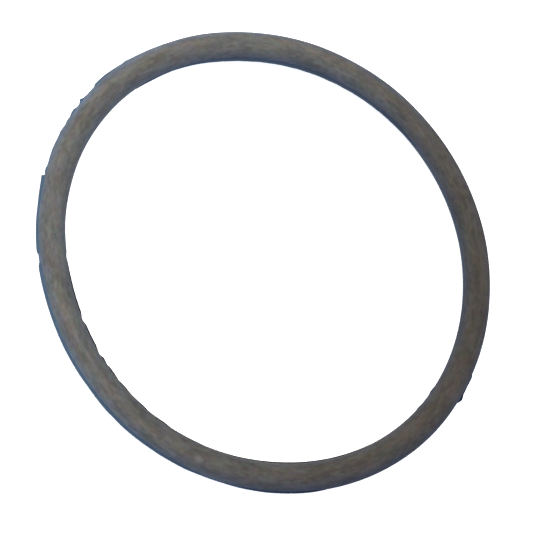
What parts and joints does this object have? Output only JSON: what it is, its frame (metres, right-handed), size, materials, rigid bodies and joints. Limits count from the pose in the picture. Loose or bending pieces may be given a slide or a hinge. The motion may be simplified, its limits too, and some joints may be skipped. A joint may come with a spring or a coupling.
{
  "type": "o-ring",
  "caption": "Closed rubber sealing ring of round section, with the thin torn moulding flash of its parting line.",
  "frame": {"origin": "centre of the ring, in the mid-plane of its round section", "axes": "+Z along the ring's own axis, so the ring lies flat in the XY plane"},
  "size_m": [0.091, 0.0911, 0.0052],
  "materials": {
    "rubber": "matt, dusty"
  },
  "bodies": {
    "root": {"o_ring": "rubber"}
  },
  "joints": []
}
